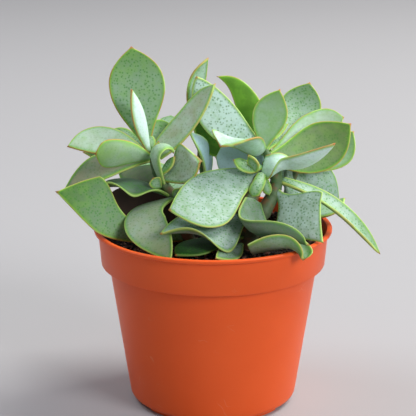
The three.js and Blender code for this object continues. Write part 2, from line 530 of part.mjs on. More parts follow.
addMesh("pot", makePot(), COLOURS.pot, 0.55);
addMesh("soil", makeSoil(stemHoles), COLOURS.soil, 1);
for (const [name, shape] of shootSolids) addMesh(`shoot_${name}`, shape, COLOURS.shoot, 0.7);

// Each leaf stops short of every shoot and of the leaves made before it.
const leafCutters = [];
for (const row of LARGE_LEAVES) {
  const leaf = cutBy(makeLeaf(row, LARGE_GRID), [...shootCutters, ...leafCutters]);
  addMesh(`leaf_${row.name}`, leaf, COLOURS.leaf, 0.6);
  leafCutters.push(makeLeaf(row, LARGE_GRID, GAP));
}

export default plant;
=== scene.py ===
"""A potted ripple-leaved jade: a moulded nursery pot, its soil, four woody shoots and their waxy leaves."""

import math
import random

import bpy
from mathutils import Matrix, Vector, noise


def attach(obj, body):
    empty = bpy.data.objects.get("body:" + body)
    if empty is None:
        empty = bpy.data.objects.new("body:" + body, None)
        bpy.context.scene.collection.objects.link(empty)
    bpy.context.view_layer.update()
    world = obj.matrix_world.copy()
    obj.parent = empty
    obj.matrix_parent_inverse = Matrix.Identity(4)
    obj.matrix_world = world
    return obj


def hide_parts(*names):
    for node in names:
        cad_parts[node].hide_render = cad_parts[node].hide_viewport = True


# ---------------------------------------------------------------- the frame
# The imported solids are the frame. All sizes below are real millimetres times MM.
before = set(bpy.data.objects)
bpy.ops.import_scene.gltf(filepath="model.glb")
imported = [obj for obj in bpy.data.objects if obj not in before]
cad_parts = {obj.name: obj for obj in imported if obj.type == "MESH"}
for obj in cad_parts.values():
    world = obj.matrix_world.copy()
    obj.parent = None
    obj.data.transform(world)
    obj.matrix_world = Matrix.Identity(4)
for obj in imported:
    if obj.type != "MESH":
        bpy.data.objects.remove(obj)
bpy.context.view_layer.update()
bpy.ops.object.select_all(action="DESELECT")
MM = 0.001

# ---------------------------------------------------------------- camera
# Stands 650 mm in front of the pot and about 100 mm above the plant, looking a little down through a
# long portrait lens.
CAMERA = {"place": (-2.56, -650, 283), "downwards": 15.75, "sensor": 36, "lens": 116.05}

camera = bpy.data.objects.new("camera", bpy.data.cameras.new("camera"))
bpy.context.scene.collection.objects.link(camera)
camera.location = Vector(CAMERA["place"]) * MM
camera.rotation_euler = (math.radians(90 - CAMERA["downwards"]), 0, 0)
camera.data.sensor_width = CAMERA["sensor"]
camera.data.lens = CAMERA["lens"]
camera.data.clip_start = 20 * MM
camera.data.clip_end = 60000 * MM
bpy.context.scene.camera = camera

# ---------------------------------------------------------------- light
# A large soft window high up to the right and a little behind, a lower one to the right and front, a
# weak one to the left, and an even pale room. The windows face the plant's middle, 90 mm up.
KEY = {"place": (1500, 600, 2200), "size": 1500, "power": 84, "colour": "#fffdfa"}
FRONT = {"place": (1750, -1700, 1350), "size": 1000, "power": 43, "colour": "#fbfbff"}
LEFT = {"place": (-1200, 300, 1800), "size": 1200, "power": 15, "colour": "#f4f8ff"}
ROOM = {"colour": "#e9edf5", "strength": 0.32}
AIM_HEIGHT = 90


def srgb(code):
    """An sRGB hex colour as the linear colour that Blender works in."""
    channels = [int(code[i:i + 2], 16) / 255 for i in (1, 3, 5)]
    linear = [c / 12.92 if c <= 0.04045 else ((c + 0.055) / 1.055) ** 2.4 for c in channels]
    return (*linear, 1)


def add_window(name, place, size, power, colour):
    """A square lamp, as wide as size in mm, with its power in watts."""
    lamp = bpy.data.lights.new(name, "AREA")
    lamp.shape = "SQUARE"
    lamp.size = size * MM
    lamp.energy = power
    lamp.color = srgb(colour)[:3]
    window = bpy.data.objects.new(name, lamp)
    bpy.context.scene.collection.objects.link(window)
    window.location = Vector(place) * MM
    aim = Vector((0, 0, AIM_HEIGHT * MM)) - window.location
    window.rotation_euler = aim.to_track_quat("-Z", "Y").to_euler()


add_window("key_window", **KEY)
add_window("front_window", **FRONT)
add_window("left_window", **LEFT)

world = bpy.data.worlds.new("room")
bpy.context.scene.world = world
world.use_nodes = True
background = world.node_tree.nodes["Background"]
background.inputs["Color"].default_value = srgb(ROOM["colour"])
background.inputs["Strength"].default_value = ROOM["strength"]
bpy.context.scene.view_settings.view_transform = "Standard"

# ---------------------------------------------------------------- table
# A plain pale grey table top under the pot, wide enough to fill the view. Its matt paint has hardly
# any gloss.
TABLE = {"width": 9000, "colour": "#abaaab"}


def new_material(name, finish):
    """A material, its node tree and its Principled shader, set to the values that finish gives."""
    material = bpy.data.materials.new(name)
    material.use_nodes = True
    shader = material.node_tree.nodes["Principled BSDF"]
    for socket, value in finish.items():
        shader.inputs[socket].default_value = value
    return material, material.node_tree, shader


bpy.ops.mesh.primitive_plane_add(size=TABLE["width"] * MM)
table = bpy.context.active_object
table.name = "table_top"
table_material = new_material("painted_table_top", {
    "Base Color": srgb(TABLE["colour"]), "Roughness": 0.9, "Specular IOR Level": 0.2,
})[0]
table.data.materials.append(table_material)

# ---------------------------------------------------------------- pot
# One injection-moulded polypropylene nursery pot: a deep collar under a narrow lip, a tapering body
# and a notched foot ring. Each point of the profile is a radius and a height.
POT_RING = 192  # steps round the pot
POT_PROFILE = [
    (0, 0), (12, 0), (12.6, 2), (36.4, 2), (36.8, 0.05), (37.0, 0), (39.2, 0), (39.6, 0.3),
    (39.6, 2), (41.4, 2.3), (42.2, 2.9), (42.7, 3.9), (42.9, 5.2), (52.8, 72.3), (53.1, 72.5),
    (56.3, 72.5), (56.5, 72.6), (56.6, 72.8), (57.95, 88.6), (58.3, 89.0), (59.4, 89.1),
    (59.85, 89.4), (60, 89.9), (59.95, 90.5), (59.6, 90.9), (59.0, 91), (58.2, 91),
    (57.5, 90.7), (57.2, 90.2), (55.7, 74.3), (55.3, 73.7), (52.0, 73.3), (51.65, 72.8),
    (41.7, 5.2), (40.9, 3.4), (0, 3.4),
]
FOOT_NOTCH = {"count": 6, "from_axis": 38.6, "size": (8, 10, 3.4)}
DRAIN_HOLE = {"count": 6, "from_axis": 25, "radius": 4, "depth": 6, "middle": 3, "sides": 32}
# Kinds of shader nodes, then the places of a colour mix's sockets: its inputs, and its result.
MIX, RANGE, MATH, NOISE = "ShaderNodeMix", "ShaderNodeMapRange", "ShaderNodeMath", "ShaderNodeTexNoise"
FACTOR, COLOUR_A, COLOUR_B, MIXED = 0, 6, 7, 2


def pick(piece):
    """Selects the piece alone, and makes it the active one."""
    bpy.ops.object.select_all(action="DESELECT")
    piece.select_set(True)
    bpy.context.view_layer.objects.active = piece


def smooth_by_angle(piece, degrees):
    pick(piece)
    bpy.ops.object.shade_smooth_by_angle(angle=math.radians(degrees))


def spin_profile(name, profile, steps):
    """A profile of (radius, height) in mm, spun about the upright axis and closed."""
    mesh = bpy.data.meshes.new(name)
    edges = [(i, i + 1) for i in range(len(profile) - 1)]
    mesh.from_pydata([(r * MM, 0, z * MM) for r, z in profile], edges, [])
    piece = bpy.data.objects.new(name, mesh)
    bpy.context.scene.collection.objects.link(piece)
    pick(piece)
    bpy.ops.object.mode_set(mode="EDIT")
    bpy.ops.mesh.select_all(action="SELECT")
    bpy.ops.mesh.spin(steps=steps, angle=2 * math.pi, center=(0, 0, 0), axis=(0, 0, 1))
    bpy.ops.mesh.select_all(action="SELECT")
    bpy.ops.mesh.remove_doubles(threshold=0.002 * MM)
    bpy.ops.mesh.normals_make_consistent(inside=False)
    bpy.ops.object.mode_set(mode="OBJECT")
    return piece


def cut_away(piece, cutters):
    """Takes every cutter out of the piece, then removes the cutters."""
    for cutter in cutters:
        cut = piece.modifiers.new("cut", "BOOLEAN")
        cut.operation = "DIFFERENCE"
        cut.solver = "EXACT"
        cut.object = cutter
    pick(piece)
    for modifier in list(piece.modifiers):
        bpy.ops.object.modifier_apply(modifier=modifier.name)
    for cutter in cutters:
        bpy.data.objects.remove(cutter, do_unlink=True)


def round_the_axis(radius, angle, height):
    """A place in mm, given by its distance from the pot's axis, its angle and its height."""
    return Vector((radius * math.cos(angle), radius * math.sin(angle), height))


pot = spin_profile("nursery_pot", POT_PROFILE, POT_RING)
pot_cutters = []
for i in range(FOOT_NOTCH["count"]):
    angle = 2 * math.pi * (i + 0.5) / FOOT_NOTCH["count"]
    place = round_the_axis(FOOT_NOTCH["from_axis"], angle, 0) * MM
    bpy.ops.mesh.primitive_cube_add(location=place, rotation=(0, 0, angle), size=1)
    notch = bpy.context.active_object
    notch.scale = Vector(FOOT_NOTCH["size"]) * MM
    pot_cutters.append(notch)
for i in range(DRAIN_HOLE["count"]):
    angle = 2 * math.pi * i / DRAIN_HOLE["count"]
    place = round_the_axis(DRAIN_HOLE["from_axis"], angle, DRAIN_HOLE["middle"]) * MM
    bpy.ops.mesh.primitive_cylinder_add(
        vertices=DRAIN_HOLE["sides"], radius=DRAIN_HOLE["radius"] * MM,
        depth=DRAIN_HOLE["depth"] * MM, location=place,
    )
    pot_cutters.append(bpy.context.active_object)
cut_away(pot, pot_cutters)
smooth_by_angle(pot, degrees=32)


def add_node(tree, kind, links=None, **settings):
    """One shader node with its settings; links gives each input a value or another node's output."""
    made = tree.nodes.new(kind)
    for name, value in settings.items():
        setattr(made, name, value)
    for socket, value in (links or {}).items():
        if isinstance(value, bpy.types.NodeSocket):
            tree.links.new(value, made.inputs[socket])
        else:
            made.inputs[socket].default_value = value
    return made


# Polypropylene from the mould: a satin skin with a soft, wide sheen, its tint a little uneven in
# clouds some 45 mm wide, and light that spreads a little in the wall.
pot_material, tree, shader = new_material("moulded_polypropylene", {
    "Roughness": 0.42, "IOR": 1.49, "Specular IOR Level": 0.3, "Subsurface Weight": 0.1,
    "Subsurface Radius": (1.0, 0.35, 0.15), "Subsurface Scale": 1.0 * MM,
})
coords = add_node(tree, "ShaderNodeTexCoord").outputs["Object"]
cloud = add_node(tree, NOISE, {"Vector": coords, "Scale": 1 / (45.5 * MM), "Detail": 3})
tint = add_node(tree, MIX, {
    FACTOR: cloud.outputs["Fac"], COLOUR_A: srgb("#d64e14"), COLOUR_B: srgb("#e95e22"),
}, data_type="RGBA")
# Scuffs of handling: pale crooked lines about 0.4 mm wide, which follow the borders of bent cells some
# 18 mm wide and show only in patches some 12 mm wide.
drift = add_node(tree, NOISE, {"Vector": coords, "Scale": 1 / (16.7 * MM), "Detail": 2})
bent = add_node(tree, "ShaderNodeVectorMath", {
    0: coords, 1: drift.outputs["Color"], 2: (20 * MM, 20 * MM, 20 * MM),
}, operation="MULTIPLY_ADD")
threads = add_node(tree, "ShaderNodeTexVoronoi", {
    "Vector": bent.outputs["Vector"], "Scale": 1 / (18.2 * MM),
}, feature="DISTANCE_TO_EDGE")
thread = add_node(tree, RANGE, {
    "Value": threads.outputs["Distance"], "From Max": 0.012, "To Min": 1, "To Max": 0,
})
where = add_node(tree, NOISE, {"Vector": coords, "Scale": 1 / (11.8 * MM), "Detail": 1})
patch = add_node(tree, RANGE, {
    "Value": where.outputs["Fac"], "From Min": 0.62, "From Max": 0.72, "To Max": 0.35,
})
scuff = add_node(tree, MATH, {
    0: thread.outputs["Result"], 1: patch.outputs["Result"],
}, operation="MULTIPLY")
scuffed = add_node(tree, MIX, {
    FACTOR: scuff.outputs["Value"], COLOUR_A: tint.outputs[MIXED], COLOUR_B: srgb("#e39a78"),
}, data_type="RGBA")
# The mould's fine grain, drawn 1.1 mm wide so that it shows.
grain = add_node(tree, NOISE, {"Vector": coords, "Scale": 1 / (1.11 * MM), "Detail": 2})
skin = add_node(tree, "ShaderNodeBump", {
    "Height": grain.outputs["Fac"], "Strength": 0.12, "Distance": 0.05 * MM,
})
tree.links.new(scuffed.outputs[MIXED], shader.inputs["Base Color"])
tree.links.new(skin.outputs["Normal"], shader.inputs["Normal"])
pot.data.materials.append(pot_material)
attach(pot, "root")
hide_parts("pot")

# ---------------------------------------------------------------- soil
# Moist peat mix: a dark crumbly bed some 7 mm below the rim, with loose crumbs of peat, bark and
# grit, 1 to 3 mm wide and a few up to 6 mm long, lying on it.
SOIL_LEVEL = 84.3
SOIL_RADIUS = 56.2
SOIL_FOOT = [(0, 3.8), (40.2, 3.8), (41.4, 5.4), (51.3, 72.2), (51.6, 73.8), (54.8, 74.8)]
BED_STEP = 0.55  # between the rings of its top
BED_SIDES = 150
LUMP_HEIGHT = 0.7
CRUMB_COUNT = 3600
SMALLEST_CRUMB = 0.45  # half its width
CRUMB_RANGE = 1.0  # from the smallest to the largest
CRUMB_CEILING = 88.5  # keeps all crumbs below the rim
CRUMB_REACH = 0.985  # as a share of the bed's radius
SOIL_SEED = 7


def soil_relief(x, y):
    """Height of the uneven surface above its level, in mm."""
    lumps = math.sin(0.21 * x + 0.6) * math.cos(0.17 * y) + 0.5 * math.sin(0.43 * x - 0.37 * y)
    return 0.9 * lumps - 0.012 * x


bed_top = [(SOIL_RADIUS - BED_STEP * i, SOIL_LEVEL) for i in range(int(SOIL_RADIUS / BED_STEP))]
bed = spin_profile("soil_bed", [*SOIL_FOOT, *bed_top, (0, SOIL_LEVEL)], BED_SIDES)
for vertex in bed.data.vertices:
    x, y, z = vertex.co / MM
    if z > SOIL_LEVEL - 0.01:
        crumb = noise.noise(Vector((x, y, 0)) / 2.6) + 0.6 * noise.noise(Vector((x, y, 9)) / 1.1)
        vertex.co.z = (SOIL_LEVEL + soil_relief(x, y) + LUMP_HEIGHT * crumb) * MM
smooth_by_angle(bed, degrees=60)

dice = random.Random(SOIL_SEED)
bpy.ops.mesh.primitive_ico_sphere_add(subdivisions=1, radius=1)
pattern = bpy.context.active_object
corners = [vertex.co.copy() for vertex in pattern.data.vertices]
sides = [tuple(face.vertices) for face in pattern.data.polygons]
bpy.data.objects.remove(pattern, do_unlink=True)
crumb_points = []
crumb_faces = []
crumb_tones = []
for i in range(CRUMB_COUNT):
    spread = SOIL_RADIUS * math.sqrt(dice.random()) * CRUMB_REACH
    angle = 2 * math.pi * dice.random()
    x, y = spread * math.cos(angle), spread * math.sin(angle)
    size = SMALLEST_CRUMB + CRUMB_RANGE * dice.random() ** 3
    length = size * (1 + 1.2 * dice.random() ** 2)
    shape = Matrix.Diagonal((length, size, size * (0.6 + 0.4 * dice.random())))
    heading = Matrix.Rotation(2 * math.pi * dice.random(), 3, "Z")
    turn = heading @ Matrix.Rotation(dice.uniform(-0.6, 0.6), 3, "Y")
    height = SOIL_LEVEL + soil_relief(x, y) + dice.uniform(0.1, 0.9)
    seat = Vector((x, y, min(height, CRUMB_CEILING - size)))
    first = len(crumb_points)
    jag = [dice.uniform(0.72, 1.2) for _ in corners]
    crumb_points += [(turn @ (shape @ (corner * k)) + seat) * MM for corner, k in zip(corners, jag)]
    crumb_faces += [tuple(first + j for j in side) for side in sides]
    crumb_tones += [dice.random()] * len(corners)
crumb_mesh = bpy.data.meshes.new("soil_crumbs")
crumb_mesh.from_pydata(crumb_points, [], crumb_faces)
crumb_mesh.attributes.new("tone", "FLOAT", "POINT").data.foreach_set("value", crumb_tones)
crumbs = bpy.data.objects.new("soil_crumbs", crumb_mesh)
bpy.context.scene.collection.objects.link(crumbs)

# Moist peat: nearly black, with brown specks some 1 mm wide and a few paler bits of bark, and hardly
# any gloss. Each crumb has a tone of its own.
soil_material, tree, shader = new_material("moist_peat_mix", {"Roughness": 0.85, "Specular IOR Level": 0.25})
coords = add_node(tree, "ShaderNodeTexCoord").outputs["Object"]
tone = add_node(tree, "ShaderNodeAttribute", attribute_name="tone")
speck = add_node(tree, NOISE, {"Vector": coords, "Scale": 1 / (1.11 * MM), "Detail": 4})
mixed = add_node(tree, MATH, {
    0: speck.outputs["Fac"], 1: 0.35, 2: tone.outputs["Fac"],
}, operation="MULTIPLY_ADD")
ramp = add_node(tree, "ShaderNodeValToRGB", {"Fac": mixed.outputs["Value"]})
peat, grit = ramp.color_ramp.elements
peat.position, peat.color = 0.1, srgb("#150f0c")
grit.position, grit.color = 1, srgb("#8a6658")
ramp.color_ramp.elements.new(0.75).color = srgb("#33241d")
ramp.color_ramp.elements.new(0.98).color = srgb("#5c4238")
rough = add_node(tree, "ShaderNodeBump", {
    "Height": speck.outputs["Fac"], "Strength": 0.8, "Distance": 0.3 * MM,
})
tree.links.new(ramp.outputs["Color"], shader.inputs["Base Color"])
tree.links.new(rough.outputs["Normal"], shader.inputs["Normal"])
for piece in (bed, crumbs):
    piece.data.materials.append(soil_material)
    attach(piece, "root")
    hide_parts("soil")

# ---------------------------------------------------------------- shoots
# Young wood of a succulent: stout green-brown stems, ringed at the nodes where old leaves came off.
# They stand in the soil and end in the growing tips of the heads. A node is a share of the length.
SHOOTS = {
    "left": {
        "path": [(-10, -12, 78), (-14, -11, 92), (-19, -7, 106), (-27, -4, 117), (-31, 0, 130)],
        "radii": (3.6, 2), "nodes": (0.24, 0.42, 0.55, 0.72, 0.8),
    },
    "right": {
        "path": [(14, -20, 78), (20, -17, 95), (29, -10, 108), (31, -5, 118), (25, 1, 131)],
        "radii": (4.6, 2.4), "nodes": (0.2, 0.37, 0.52, 0.66, 0.8),
    },
    "fork": {
        "path": [(17, -18, 90), (17, -18, 104), (20, -13, 112), (24, -7, 119)],
        "radii": (4.2, 3.2), "nodes": (0.35, 0.62),
    },
    "back": {
        "path": [(-2, 14, 78), (-3, 18, 98), (-4, 20, 112), (-7, 19, 127)],
        "radii": (3.8, 2.2), "nodes": (0.3, 0.5, 0.66, 0.85),
    },
    "far": {
        "path": [(36, 8, 78), (38, 10, 95), (39, 9, 108), (43, 12, 122)],
        "radii": (3.6, 2.2), "nodes": (0.3, 0.52, 0.68, 0.9),
    },
}
STEM_RINGS = 90
STEM_SIDES = 28
RIDGE_WIDTH = 0.012  # as a share of the stem's length
RIDGE_RISE = 0.12  # this and the lumps as shares of the stem's radius
STEM_LUMPS = 0.07


def along_path(path, share):
    """A point of the smooth curve through the path's points, in mm."""
    last = len(path) - 1
    place = min(max(share, 0), 1) * last
    i = min(int(place), last - 1)
    t = place - i
    points = [Vector(p) for p in path]
    before = points[i - 1] if i else 2 * points[0] - points[1]
    after = points[i + 2] if i + 2 <= last else 2 * points[last] - points[last - 1]
    b, c = points[i], points[i + 1]
    return 0.5 * (2 * b + (c - before) * t + (2 * before - 5 * b + 4 * c - after) * t * t
                  + (3 * b - before - 3 * c + after) * t ** 3)


def rolled_grid(name, around, along, spot_of):
    """A flat grid rolled up into a closed skin. spot_of(column, row) gives the place of a corner in mm
    and the three numbers that its skin attribute holds."""
    bpy.ops.mesh.primitive_grid_add(x_subdivisions=around, y_subdivisions=along, size=1)
    piece = bpy.context.active_object
    piece.name = name
    piece.data.name = name
    skin = piece.data.attributes.new("skin", "FLOAT_COLOR", "POINT")
    for i, vertex in enumerate(piece.data.vertices):
        spot, held = spot_of(round((vertex.co.x + 0.5) * around), round((vertex.co.y + 0.5) * along))
        vertex.co = spot * MM
        skin.data[i].color = (*held, 1)
    bpy.ops.object.mode_set(mode="EDIT")
    bpy.ops.mesh.select_all(action="SELECT")
    bpy.ops.mesh.remove_doubles(threshold=0.004 * MM)
    bpy.ops.mesh.normals_make_consistent(inside=False)
    bpy.ops.object.mode_set(mode="OBJECT")
    bpy.ops.object.shade_smooth()
    return piece


def make_stem(name, path, radii, nodes):
    """A bent, tapering stem with a ridge round each node; its last ninth closes to a rounded end."""
    frames = []
    first = Vector((1, 0, 0))
    for i in range(STEM_RINGS + 1):
        share = i / STEM_RINGS
        run = (along_path(path, share + 0.01) - along_path(path, share - 0.01)).normalized()
        first = (first - first.dot(run) * run).normalized()
        frames.append((along_path(path, share), first.copy(), run.cross(first)))

    def spot_of(column, row):
        centre, across, other = frames[row]
        share = row / STEM_RINGS
        if row in (0, STEM_RINGS):
            return centre, (0, 0, share)
        ridge = sum(math.exp(-((share - n) / RIDGE_WIDTH) ** 2) for n in nodes)
        radius = radii[0] + (radii[1] - radii[0]) * share
        closing = min(1, 9 * (1 - share)) ** 0.5
        angle = 2 * math.pi * column / STEM_SIDES
        lump = noise.noise(Vector((math.cos(angle), math.sin(angle), share * 9)) * 1.4)
        size = radius * closing * (1 + RIDGE_RISE * ridge + STEM_LUMPS * lump)
        return centre + size * (math.cos(angle) * across + math.sin(angle) * other), (ridge, 0, share)

    return rolled_grid(name, STEM_SIDES, STEM_RINGS, spot_of)


# Bark: dull and finely rough, with a grain some 4 mm wide, grey-green near the soil and fresher above,
# and brown corky patches some 6 mm wide.
stem_material, tree, shader = new_material("succulent_bark", {"Roughness": 0.6})
coords = add_node(tree, "ShaderNodeTexCoord").outputs["Object"]
split = add_node(tree, "ShaderNodeSeparateXYZ", {"Vector": coords})
age = add_node(tree, RANGE, {
    "Value": split.outputs["Z"], "From Min": 88 * MM, "From Max": 118 * MM,
})
bark = add_node(tree, NOISE, {"Vector": coords, "Scale": 1 / (3.85 * MM), "Detail": 6})
old = add_node(tree, MIX, {
    FACTOR: bark.outputs["Fac"], COLOUR_A: srgb("#2f4a36"), COLOUR_B: srgb("#5c5a42"),
}, data_type="RGBA")
fresh = add_node(tree, MIX, {
    FACTOR: bark.outputs["Fac"], COLOUR_A: srgb("#3f6238"), COLOUR_B: srgb("#66804e"),
}, data_type="RGBA")
wood = add_node(tree, MIX, {
    FACTOR: age.outputs["Result"], COLOUR_A: old.outputs[MIXED], COLOUR_B: fresh.outputs[MIXED],
}, data_type="RGBA")
cork = add_node(tree, NOISE, {"Vector": coords, "Scale": 1 / (5.88 * MM), "Detail": 3})
corky = add_node(tree, RANGE, {
    "Value": cork.outputs["Fac"], "From Min": 0.52, "From Max": 0.64, "To Max": 0.85,
})
scarred = add_node(tree, MIX, {
    FACTOR: corky.outputs["Result"], COLOUR_A: wood.outputs[MIXED], COLOUR_B: srgb("#80603e"),
}, data_type="RGBA")
relief = add_node(tree, "ShaderNodeBump", {
    "Height": bark.outputs["Fac"], "Strength": 0.5, "Distance": 0.3 * MM,
})
tree.links.new(scarred.outputs[MIXED], shader.inputs["Base Color"])
tree.links.new(relief.outputs["Normal"], shader.inputs["Normal"])

for name, shoot in SHOOTS.items():
    stem = make_stem(f"stem_{name}", shoot["path"], shoot["radii"], shoot["nodes"])
    stem.data.materials.append(stem_material)
    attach(stem, "root")
    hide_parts("shoot_right" if name == "fork" else f"shoot_{name}")

